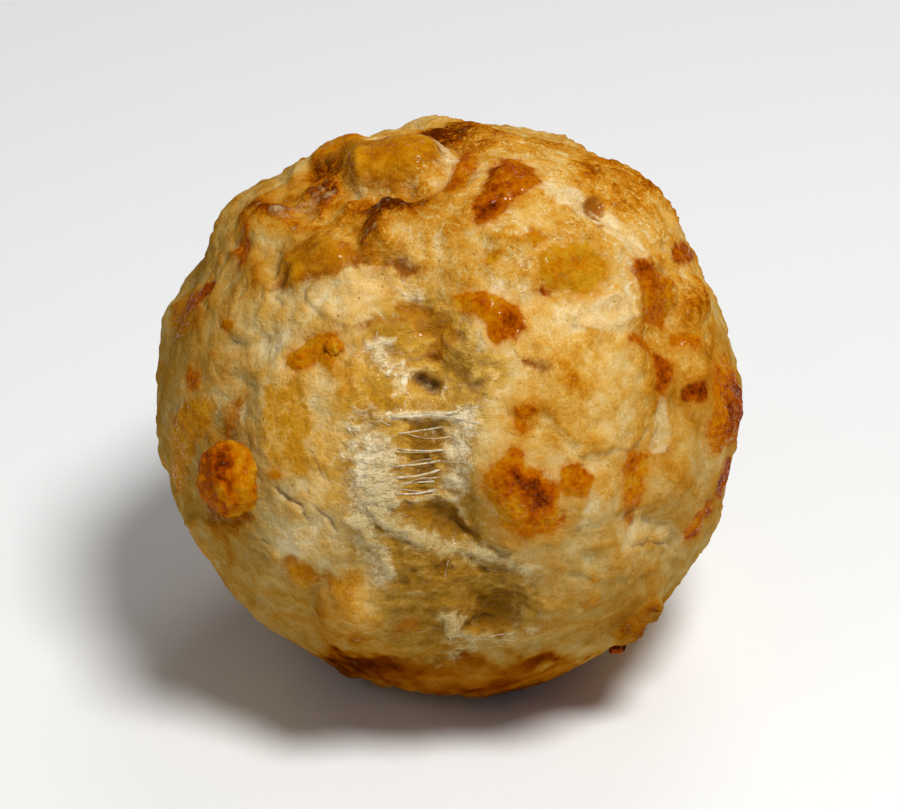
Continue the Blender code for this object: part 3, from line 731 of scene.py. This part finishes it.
def roughenDough(skin):
    calm = 1 - 0.75 * ease(skin.masks["melted"], -0.1, 0.5)
    relief = sum(rise * softNoise(skin.points, size, 100 + index * 5, 2)
                 for index, (size, rise) in enumerate(ball["lumps"]))
    size, height = ball["wrinkle"]
    wrinkle = crestNoise(skin.points + skin.warp, size, 120, 2) - 0.5
    wrinkle *= height + ball["capWrinkle"] * skin.masks["cap"]
    size, height = ball["fine"]
    fine = height * softNoise(skin.points, size, 126, 2)
    creased = sum(rise * np.abs(gradientNoise((skin.points + skin.warp) / size, 140 + index)) - rise * 0.3
                  for index, (size, rise) in enumerate(ball["creased"]))
    relief += creased * ease(softNoise(skin.points, ball["creasedPatches"], 150, 2), -0.35, 0.35)
    skin.height += relief + calm * (wrinkle + fine)


def finishSkin(skin):
    away = skin.points[:, 2] + skin.middle[2]
    relief = skin.height * ease(away, 0.05, ball["footRise"])
    blurred = evenOut(relief, skin.links, ball["creasePasses"])
    skin.masks["crease"] = blurred - relief
    points = skin.ways * (skin.radius + relief)[:, None] + skin.middle
    points[:, 2] = np.maximum(points[:, 2], 0.0)
    skin.mesh.vertices.foreach_set("co", (points * mm).ravel())
    for name, values in skin.masks.items():
        layer = skin.mesh.attributes.new(name, "FLOAT", "POINT")
        layer.data.foreach_set("value", np.ascontiguousarray(values, dtype=np.float32))
    skin.mesh.update()
    skin.mesh.shade_smooth()
    skin.tree = BVHTree.FromPolygons([tuple(point) for point in points],
                                     [tuple(face.vertices) for face in skin.mesh.polygons])
    skin.piece = bpy.data.objects.new("bakedCrust", skin.mesh)
    bpy.context.scene.collection.objects.link(skin.piece)


# ---- materials

def paint(red, green, blue):
    shown = np.array((red, green, blue)) / 255
    light = np.where(shown <= 0.04045, shown / 12.92, ((shown + 0.055) / 1.055) ** 2.4)
    return (*light.tolist(), 1.0)


# a socket that works in sums, so that masks read as plain maths
class Wire:
    def __init__(self, maker, socket):
        self.maker, self.socket = maker, socket

    def maths(self, operation, other, swap=False):
        first, second = (other, self) if swap else (self, other)
        return self.maker.node("ShaderNodeMath", {"operation": operation}, {0: first, 1: second})

    def __add__(self, other): return self.maths("ADD", other)
    def __radd__(self, other): return self.maths("ADD", other, True)
    def __sub__(self, other): return self.maths("SUBTRACT", other)
    def __rsub__(self, other): return self.maths("SUBTRACT", other, True)
    def __mul__(self, other): return self.maths("MULTIPLY", other)
    def __rmul__(self, other): return self.maths("MULTIPLY", other, True)
    def __abs__(self): return self.maths("ABSOLUTE", 0.0)


class Maker:
    def __init__(self, name):
        self.material = bpy.data.materials.new(name)
        self.material.use_nodes = True
        self.tree = self.material.node_tree
        self.shader = self.tree.nodes["Principled BSDF"]
        where = self.node("ShaderNodeTexCoord", output="Object")
        self.place = self.node("ShaderNodeVectorMath", {"operation": "SCALE"}, {0: where, "Scale": 1 / mm})

    # any node: its settings first, then the values or links of its sockets
    def node(self, kind, settings=None, sockets=None, output=0):
        made = self.tree.nodes.new(kind)
        for name, value in (settings or {}).items():
            if name == "stops":
                self.setStops(made.color_ramp, value)
            else:
                setattr(made, name, value)
        for name, value in (sockets or {}).items():
            self.feed(made.inputs[name], value)
        return Wire(self, made.outputs[output])

    def feed(self, socket, value):
        if isinstance(value, Wire):
            self.tree.links.new(value.socket, socket)
        else:
            socket.default_value = value

    def setStops(self, ramp, stops):
        while len(ramp.elements) < len(stops):
            ramp.elements.new(0.5)
        for element, (position, colour) in zip(ramp.elements, stops):
            element.position = position
            element.color = colour

    def mask(self, name):
        return self.node("ShaderNodeAttribute", {"attribute_name": name}, output="Fac")

    def noise(self, size, detail=2.0, rough=0.5, distortion=0.0, place=None):
        return self.node("ShaderNodeTexNoise", None, {
            "Vector": place or self.place, "Scale": 1 / size, "Detail": detail,
            "Roughness": rough, "Distortion": distortion}, "Fac")

    def cells(self, size):
        return self.node("ShaderNodeTexVoronoi", None, {
            "Vector": self.place, "Scale": 1 / size}, "Distance")

    def ease(self, value, low, high, start=0.0, end=1.0):
        return self.node("ShaderNodeMapRange", {"interpolation_type": "SMOOTHSTEP"}, {
            "Value": value, "From Min": low, "From Max": high, "To Min": start, "To Max": end})

    def ramp(self, value, stops):
        return self.node("ShaderNodeValToRGB", {"stops": stops}, {"Fac": value})

    def blend(self, factor, one, two, how="MIX"):
        return self.node("ShaderNodeMix", {"data_type": "RGBA", "blend_type": how}, {
            0: factor, 6: one, 7: two}, 2)

    # thin lines along the middle values of a noise
    def lines(self, size, width, detail=2.0, place=None):
        return self.ease(abs(self.noise(size, detail, place=place) - 0.5), width, 0.0)

    def bump(self, height):
        return self.node("ShaderNodeBump", None, {"Height": height, "Distance": mm, "Strength": 1.0})

    def finish(self, **sockets):
        for name, value in sockets.items():
            self.feed(self.shader.inputs[name.replace("_", " ")], value)
        return self.material


doughLook = {
    "stops": ((0.0, paint(238, 222, 182)), (0.2, paint(226, 195, 132)), (0.4, paint(215, 168, 82)),
              (0.56, paint(203, 143, 44)), (0.7, paint(186, 114, 12)), (0.85, paint(148, 72, 1)),
              (1.0, paint(90, 34, 1))),
    # painted shade: the warm colour that the dough is multiplied by away from the key lamp
    "deepened": (0.58, 0.51, 0.32, 1.0),    # what the dough is multiplied by
    # painted shade that the folds are multiplied by
    "foldShade": (0.62, 0.5, 0.28, 1.0),
    "poreShade": paint(148, 98, 34),
    "crack": paint(138, 90, 30),
    "roughness": 0.84,
}
cheeseLook = {
    "stops": ((0.0, paint(196, 140, 24)), (0.25, paint(188, 116, 4)), (0.45, paint(176, 92, 1)),
              (0.62, paint(154, 68, 1)), (0.78, paint(126, 50, 1)), (0.92, paint(88, 31, 1)),
              (1.0, paint(54, 19, 1))),
    "halo": paint(200, 132, 32),
}
meltLook = {
    "stops": ((0.0, paint(214, 166, 78)), (0.14, paint(200, 140, 24)), (0.38, paint(180, 114, 1)),
              (0.6, paint(158, 88, 1)), (1.0, paint(112, 56, 1))),
}
tearLook = {
    "ground": ((0.0, paint(148, 98, 2)), (0.45, paint(191, 141, 33)), (1.0, paint(226, 188, 100))),
    "white": paint(250, 240, 208),
    "pit": paint(176, 122, 12),
    "pitShadowColour": paint(88, 44, 1),
    "drawn": (0.5, 1.3, 1.3),
    "slant": -0.5,
}


def crustMaterial():
    make = Maker("bakedCrust")
    ragged = make.noise(0.55, 3.0, 0.6) - 0.5
    speck = make.noise(0.24, 2.0, 0.6) - 0.5
    mottle = make.noise(1.1, 3.0, 0.6) - 0.5
    blotch = make.noise(2.3, 3.0, 0.6) - 0.5
    broad = make.noise(5.0, 2.0, 0.5) - 0.5
    cap = make.mask("cap")
    crease = make.mask("crease")

    # dough, more or less baked, with a web of pale skin lines on the cap
    toast = broad * 0.5 + blotch * 0.6 + mottle * 0.4 + speck * 0.4 - crease * 0.5
    toast = make.mask("toast") + make.mask("golden") + toast * (1.0 - make.mask("base") * 0.7)
    wrinkles = make.lines(0.9, 0.06, 3.0) * make.ease(make.noise(1.5, 1.0), 0.4, 0.54)
    wrinkles = wrinkles * (0.12 + 0.88 * cap)
    dough = make.ramp(toast - wrinkles * 0.26, doughLook["stops"])
    flaky = make.ease(make.mask("pale") + ragged * 0.6 + mottle * 1.1 + blotch * 0.8, 0.3, 1.0)
    flake = make.ramp(0.12 + mottle * 0.8 + speck * 0.5, doughLook["stops"])
    dough = make.blend(flaky * 0.7, dough, flake)

    # pores here and there, with painted shade in them
    pores = make.ease(make.cells(1.0), 0.13, 0.06) * make.ease(make.noise(2.6, 1.0), 0.5, 0.58)
    dough = make.blend(pores * 0.6, dough, doughLook["poreShade"])

    # painted shade: darker and warmer facing away from the key lamp, and darker in the folds
    deepened = make.mask("deepened")
    dough = make.blend(deepened, dough, doughLook["deepened"], "MULTIPLY")
    # painted shade in the folds
    foldShade = make.ease(crease + mottle * 0.3, 0.05, 0.45)
    dough = make.blend(foldShade * 0.5, dough, doughLook["foldShade"], "MULTIPLY")

    # melted cheese in the dough
    melted = make.ease(make.mask("melted") + ragged * 0.6 + mottle * 1.0 + blotch * 0.9, -0.4, 0.5)
    # the melt is darker in the creases: painted shade
    meltTone = make.mask("meltTone") + mottle * 0.7 + blotch * 0.6 + speck * 0.4 + crease * 0.6
    colour = make.blend(melted * 0.94, dough, make.ramp(meltTone, meltLook["stops"]))

    # the tear: ochre ground under pale wisps, drawn out level and on a slant
    turned = make.node("ShaderNodeVectorRotate", None, {
        "Vector": make.place, "Axis": tuple(sideAxes(*front)[2]), "Angle": tearLook["slant"]})
    level, slant = (make.node("ShaderNodeVectorMath", {"operation": "MULTIPLY"}, {
        0: place, 1: tearLook["drawn"]}) for place in (make.place, turned))
    streak = make.noise(1.5, 3.0, 0.55, 0.3, level) - 0.5
    crossed = make.noise(1.3, 3.0, 0.55, 0.3, slant) - 0.5
    torn = make.ease(make.mask("torn") + ragged * 0.6 + mottle * 1.2 + blotch * 1.2, 0.15, 1.0)
    tearTone = 0.5 + mottle * 1.5 + blotch * 1.2 + speck * 0.9 + crossed * 0.6 - crease * 0.9
    ground = make.ramp(tearTone, tearLook["ground"])
    pale = make.mask("white")
    clouds = pale * 0.9 + streak * 1.3 + crossed * 1.1 + mottle * 0.9 + blotch * 0.7
    clouds = make.ease(clouds, 0.1, 1.15)
    web = make.lines(1.3, 0.045, 3.0, level) + make.lines(1.0, 0.045, 3.0, slant)
    web = web + make.lines(0.6, 0.05)
    wisps = clouds * 0.72 + web * make.ease(pale + mottle * 1.6 + streak, 0.1, 0.8) * 0.45
    # the pits: ochre hollows, with painted shadow deep in them
    pit = make.ease(make.mask("pit") + ragged * 0.5 + mottle * 0.6, 0.15, 0.9)
    deep = make.blend(make.mask("pitDark") + mottle * 0.8, tearLook["pit"], tearLook["pitShadowColour"])
    ground = make.blend(pit * 0.9, ground, deep)
    ground = make.blend(wisps * (0.9 - pit * 0.4), ground, tearLook["white"])
    # the same painted shade over the tear
    ground = make.blend(deepened, ground, doughLook["deepened"], "MULTIPLY")
    colour = make.blend(torn * (0.88 - melted * 0.6), colour, ground)

    # browned bits of cheese, orange at the edge and darker inside, each in a golden halo
    depth = make.mask("browned")
    browned = make.ease(depth + ragged * 0.2 + mottle * 0.7 + blotch * 0.6, -0.55, 0.05)
    knobs = make.cells(0.55)
    tone = make.mask("tone") + mottle * 0.8 + blotch * 0.7 + speck * 0.5 + (0.4 - knobs) * 0.25
    tone = tone + make.ease(depth, 0.0, 1.4, -0.14, 0.04)
    colour = make.blend(browned, colour, make.ramp(tone, cheeseLook["stops"]))
    halo = make.ease(depth + mottle * 0.8, -1.4, 0.0) * (1.0 - browned)
    colour = make.blend(halo * 0.45, colour, cheeseLook["halo"])

    # cracks, with painted shade along them
    cracked = make.ease(make.mask("cracked") + ragged * 0.1, -0.12, 0.05)
    colour = make.blend(cracked * 0.55, colour, doughLook["crack"])

    # gloss and fine relief; only wet specks of cheese shine
    cheesy = (melted * (1.0 - torn)).maths("MAXIMUM", browned)
    wet = make.ease(make.noise(0.5, 2.0), 0.48, 0.62)
    glint = make.ease(make.noise(0.28, 2.0), 0.57, 0.65) * (cheesy * 0.9 + torn * 0.7)
    rough = doughLook["roughness"] - wet * (cheesy * 0.45 + torn * 0.5) + speck * 0.3
    height = speck * 0.1 + mottle * 0.3 - knobs * 0.06 + cap * wrinkles * 0.05 - pores * 0.1
    height = height + make.mask("torn") * (streak * 0.5 + crossed * 0.4)
    return make.finish(Base_Color=colour, Roughness=rough, Normal=make.bump(height),
                       Coat_Weight=wet * cheesy * 0.08 + glint, Coat_Roughness=0.12, Coat_IOR=1.35,
                       Subsurface_Weight=0.1, Subsurface_Radius=(1.0, 0.5, 0.22),
                       Subsurface_Scale=0.0012, IOR=1.45, Specular_IOR_Level=0.0)


def stringMaterial():
    make = Maker("cheeseStrings")
    streak = make.noise(0.9, 2.0) - 0.5
    colour = make.ramp(0.55 + streak * 1.2, ((0.0, paint(206, 178, 112)), (1.0, paint(246, 238, 214))))
    sheer = make.ease(make.noise(0.6, 2.0), 0.3, 0.6, 0.25, 0.85)
    return make.finish(Base_Color=colour, Roughness=0.34 + streak * 0.2, Alpha=sheer,
                       Normal=make.bump(make.noise(0.15, 2.0) * 0.02), Subsurface_Weight=0.3,
                       Subsurface_Radius=(1.0, 0.8, 0.5), Subsurface_Scale=0.0006, IOR=1.45)


def nubMaterial():
    make = Maker("cheeseNubs")
    mottle = make.noise(1.0, 3.0, 0.65) - 0.5
    speck = make.noise(0.25, 2.0) - 0.5
    knobs = make.cells(0.6)
    # the hollows between the knobs are painted darker and their tops lighter: painted shade and light
    tone = make.mask("tone") + mottle * 0.85 + speck * 0.3 - make.mask("crag") * 0.4 + 0.12
    height = (0.5 - knobs) * 0.16 + speck * 0.05
    return make.finish(Base_Color=make.ramp(tone, cheeseLook["stops"]), Roughness=0.3 + speck * 0.3,
                       Coat_Weight=make.ease(speck, 0.04, 0.14) * 0.6, Coat_Roughness=0.1,
                       Coat_IOR=1.3, Normal=make.bump(height), Specular_IOR_Level=0.0,
                       Subsurface_Weight=0.1, Subsurface_Radius=(1.0, 0.45, 0.15),
                       Subsurface_Scale=0.0008, IOR=1.45)


# ---- cheese strings over the tear

strings = {
    "seed": 5,
    # rungs over the long pit: height on the front, from where to where across
    "rungs": [(-0.9, -5.2, 0.9), (-1.1, -3.4, 1.4), (-2.3, -4.6, -0.6), (-4.0, -4.7, -0.6),
              (-5.3, -5.2, -0.9), (-6.2, -4.9, -0.9), (-7.0, -4.4, -1.4), (-7.8, -4.9, -1.2)],
    "web": 44,                      # short threads lying on the tear
    # lie of the threads: lowest height on the front, angle, scatter, share that cross the others
    "lie": [(3.0, -12, 16, 0.35), (-9.0, 4, 14, 0.1), (-13.0, -28, 14, 0.1), (-99.0, -8, 20, 0.2)],
    "stops": 10,
    "sides": 5,
}


# depth of the skin under a place on the front, measured out from the ball's middle
def skinDepth(skin, u, v):
    right, up, out = sideAxes(*front)
    start = skin.middle + right * u + up * v + out * ball["outside"]
    hit = skin.tree.ray_cast(Vector(start), Vector(-out))[3]
    return ball["outside"] - hit if hit is not None else 0.0


# one string as a tapering tube that spans hollows and rests on whatever rises to meet it
def spinString(bm, skin, start, end, radius, bow, lift, flat):
    right, up, out = sideAxes(*front)
    count = strings["stops"]
    ends = [skinDepth(skin, *start), skinDepth(skin, *end)]
    rings = []
    across = np.array((end[0] - start[0], end[1] - start[1]))
    aside = np.array((-across[1], across[0])) / max(np.linalg.norm(across), 1e-6)
    for index in range(count):
        share = index / (count - 1)
        sway = bow * math.sin(math.pi * share)
        u, v = np.array(start) + across * share + aside * sway
        span = ends[0] + (ends[1] - ends[0]) * share + lift * math.sin(math.pi * share)
        depth = max(span, skinDepth(skin, u, v) + radius * 0.4)
        thick = radius * (1.0 + 1.6 * abs(2 * share - 1) ** 4)      # it widens towards its ends
        thick *= 0.35 if index in (0, count - 1) else 1.0
        centre = skin.middle + right * u + up * v + out * depth
        ring = []
        for side in range(strings["sides"]):
            angle = 2 * math.pi * side / strings["sides"]
            wide = (right * aside[0] + up * aside[1]) * math.cos(angle) * thick
            ring.append(bm.verts.new(Vector((centre + wide + out * math.sin(angle) * thick * flat) * mm)))
        rings.append(ring)
    for ring, after in zip(rings, rings[1:]):
        for side in range(len(ring)):
            near = (side + 1) % len(ring)
            bm.faces.new((ring[side], ring[near], after[near], after[side]))
    bm.faces.new(rings[0][::-1])
    bm.faces.new(rings[-1])


def spinStrings(skin):
    random = np.random.default_rng(strings["seed"])
    bm = bmesh.new()
    for up, left, right in strings["rungs"]:
        slope = random.uniform(-0.4, 0.4)
        spinString(bm, skin, (left, up - slope), (right, up + slope), random.uniform(0.06, 0.11),
                   random.uniform(-0.25, 0.1), random.uniform(-0.25, 0.15), 0.8)
        # a finer thread beside each rung
        shift = random.uniform(-0.5, 0.5)
        spinString(bm, skin, (left + random.uniform(-0.8, 0.8), up + shift),
                   (right + random.uniform(-0.8, 0.8), up + random.uniform(-0.6, 0.6)),
                   random.uniform(0.02, 0.04), random.uniform(-0.3, 0.3), random.uniform(-0.3, 0.2), 1.0)
    right, up, out = sideAxes(*front)
    weight = (skin.masks["torn"] > 0.9) * (0.004 + skin.masks["white"] ** 2) * (skin.points @ out > 4)
    for pick in random.choice(len(weight), strings["web"], p=weight / weight.sum()):
        u, v = skin.points[pick] @ right, skin.points[pick] @ up
        low, angle, scatter, crossing = next(lie for lie in strings["lie"] if v > lie[0])
        turn = math.radians(angle + random.normal(0, scatter) + (80 if random.random() < crossing else 0))
        long = random.uniform(0.3, 1.1)
        du, dv = long * math.cos(turn), long * math.sin(turn)
        spinString(bm, skin, (u - du, v - dv), (u + du, v + dv), random.uniform(0.015, 0.035),
                   random.normal(0, 0.12), random.uniform(0.0, 0.1), 1.0)
    bmesh.ops.recalc_face_normals(bm, faces=bm.faces[:])
    return newPiece(bm, "cheeseStrings", stringMaterial())


def newPiece(bm, name, material):
    mesh = bpy.data.meshes.new(name)
    bm.to_mesh(mesh)
    bm.free()
    mesh.shade_smooth()
    mesh.materials.append(material)
    piece = bpy.data.objects.new(name, mesh)
    bpy.context.scene.collection.objects.link(piece)
    return piece


# ---- raised nubs of cheese

nubs = {
    # side, its height, right, up, radius, squash, tone, sink
    "places": [
        (0, 30, -20.2, -6.8, 3.35, 0.78, 0.4, 0.38),
        (0, 30, -10.4, 5.2, 0.85, 0.7, 0.22, 0.3),
        (0, 30, 15.7, -22.6, 0.9, 0.9, 0.8, 0.2),
        (120, 20, -4.0, -6.0, 1.7, 0.7, 0.4, 0.3),
        (165, 35, 6.0, 1.0, 2.3, 0.6, 0.3, 0.3),
        (215, 15, 2.0, 2.0, 1.9, 0.65, 0.35, 0.3),
        (232, 5, -3.0, -4.0, 1.2, 0.7, 0.5, 0.3),
    ],
    "large": 3.0,                   # a nub this wide is rounder and has a finer mesh
    "uneven": (0.26, 0.1),          # of small nubs and of large ones
    "knobs": 1.7,                   # size of the knobs on them
    "crag": 0.27,                   # height of the knobs against the radius
    "mostCrag": 1.6,                # radius that the knobs stop growing at
}


def growNubs(skin):
    joined = bmesh.new()
    layerTone = joined.verts.layers.float.new("tone")
    layerCrag = joined.verts.layers.float.new("crag")
    for index, (face, high, u, v, radius, squash, tone, sink) in enumerate(nubs["places"]):
        right, up, out = sideAxes(face, high)
        start = skin.middle + right * u + up * v + out * ball["outside"]
        place, normal = skin.tree.ray_cast(Vector(start), Vector(-out))[:2]
        outward = (np.array(normal) + (np.array(place) - skin.middle) / ball["radius"]) / 2
        outward /= np.linalg.norm(outward)
        before = len(joined.verts)
        large = radius > nubs["large"]
        bmesh.ops.create_icosphere(joined, subdivisions=6 if large else 5, radius=1.0)
        joined.verts.ensure_lookup_table()
        fresh = joined.verts[before:]
        ways = np.array([vert.co for vert in fresh])
        seeded = ways * radius + index * 31.7
        crag = knobNoise(seeded, nubs["knobs"], 200) * 0.8 + softNoise(seeded, 1.1, 210, 3) * 0.4
        reach = radius * (1 + nubs["uneven"][large] * softNoise(seeded, radius * 0.9, 220, 2))
        reach += nubs["crag"] * min(radius, nubs["mostCrag"]) * (crag - 0.4)
        points = ways * reach[:, None]
        points -= np.outer(points @ outward * (1 - squash), outward)
        points += np.array(place) + outward * (radius * (squash - 1) + radius * (0.5 - sink))
        # darker in patches, and more baked on the left
        shades = 0.3 * ease(softNoise(seeded, radius * 0.8, 230, 2), 0.0, 0.6) - 0.1
        shades += 0.26 * ease(softNoise(seeded, 1.2, 236, 2) * 0.5 - ways @ right, -0.1, 0.7)
        for vert, point, bit, shade in zip(fresh, points, crag, shades):
            vert.co = Vector(point * mm)
            vert[layerTone] = tone + shade
            vert[layerCrag] = bit
    bmesh.ops.recalc_face_normals(joined, faces=joined.faces[:])
    return newPiece(joined, "cheeseNubs", nubMaterial())


# ---- floor, light and camera

studio = {
    "floor": paint(246, 250, 255),
    "sky": (1.0, 0.99, 0.98, 1.0),
    "skyStrength": 0.14,
    "floorReach": 3.0,
    # name, direction round and above the ball, distance in m, size in m, power in W, colour
    "lamps": [("keyLamp", 36, 64, 0.55, 0.18, 2.8, (1.0, 0.97, 0.91)),
              ("fillLamp", -50, 38, 0.6, 0.3, 0.15, (1.0, 0.98, 0.95)),
              ("backLamp", 165, 50, 0.6, 0.3, 0.5, (1.0, 0.98, 0.95))],
}
camera = {"face": 0.0, "high": 30.0, "distance": 0.45, "lens": 190.0, "aim": ball["middle"]}


def wayTo(face, high):
    return Vector(sideAxes(face, high)[2])


def lookAt(thing, target):
    thing.rotation_euler = (target - thing.location).to_track_quat("-Z", "Y").to_euler()


def setStudio():
    aim = Vector(camera["aim"]) * mm
    for name, face, high, distance, size, power, colour in studio["lamps"]:
        lamp = bpy.data.lights.new(name, "AREA")
        lamp.shape = "DISK"
        lamp.size, lamp.energy, lamp.color = size, power, colour
        thing = bpy.data.objects.new(name, lamp)
        thing.location = aim + wayTo(face, high) * distance
        lookAt(thing, aim)
        bpy.context.scene.collection.objects.link(thing)
    world = bpy.data.worlds.new("studio")
    world.use_nodes = True
    world.node_tree.nodes["Background"].inputs["Color"].default_value = studio["sky"]
    world.node_tree.nodes["Background"].inputs["Strength"].default_value = studio["skyStrength"]
    bpy.context.scene.world = world

    bm = bmesh.new()
    bmesh.ops.create_grid(bm, x_segments=8, y_segments=8, size=studio["floorReach"])
    make = Maker("paleFloor")
    floor = newPiece(bm, "floor", make.finish(Base_Color=studio["floor"], Roughness=0.85))

    lens = bpy.data.cameras.new("camera")
    lens.lens = camera["lens"]
    lens.clip_start = 0.01
    eye = bpy.data.objects.new("camera", lens)
    eye.location = aim + wayTo(camera["face"], camera["high"]) * camera["distance"]
    lookAt(eye, aim)
    bpy.context.scene.collection.objects.link(eye)
    bpy.context.scene.camera = eye
    bpy.context.scene.view_settings.view_transform = "Standard"


def build():
    skin = Skin()
    print("skin grid laid over the frame:", len(skin.points), "points")
    toastCrust(skin)
    dressFront(skin)
    dressHidden(skin)
    openTear(skin)
    roughenDough(skin)
    finishSkin(skin)
    skin.mesh.materials.append(crustMaterial())
    print("crust shaped and coloured")
    threads = spinStrings(skin)
    print("cheese strings spun:", len(threads.data.polygons), "faces")
    knobs = growNubs(skin)
    print("cheese nubs grown:", len(knobs.data.polygons), "faces")
    for piece in (skin.piece, threads, knobs):
        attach(piece, "root")
    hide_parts("cheese_ball")
    setStudio()
    print("studio ready")


build()
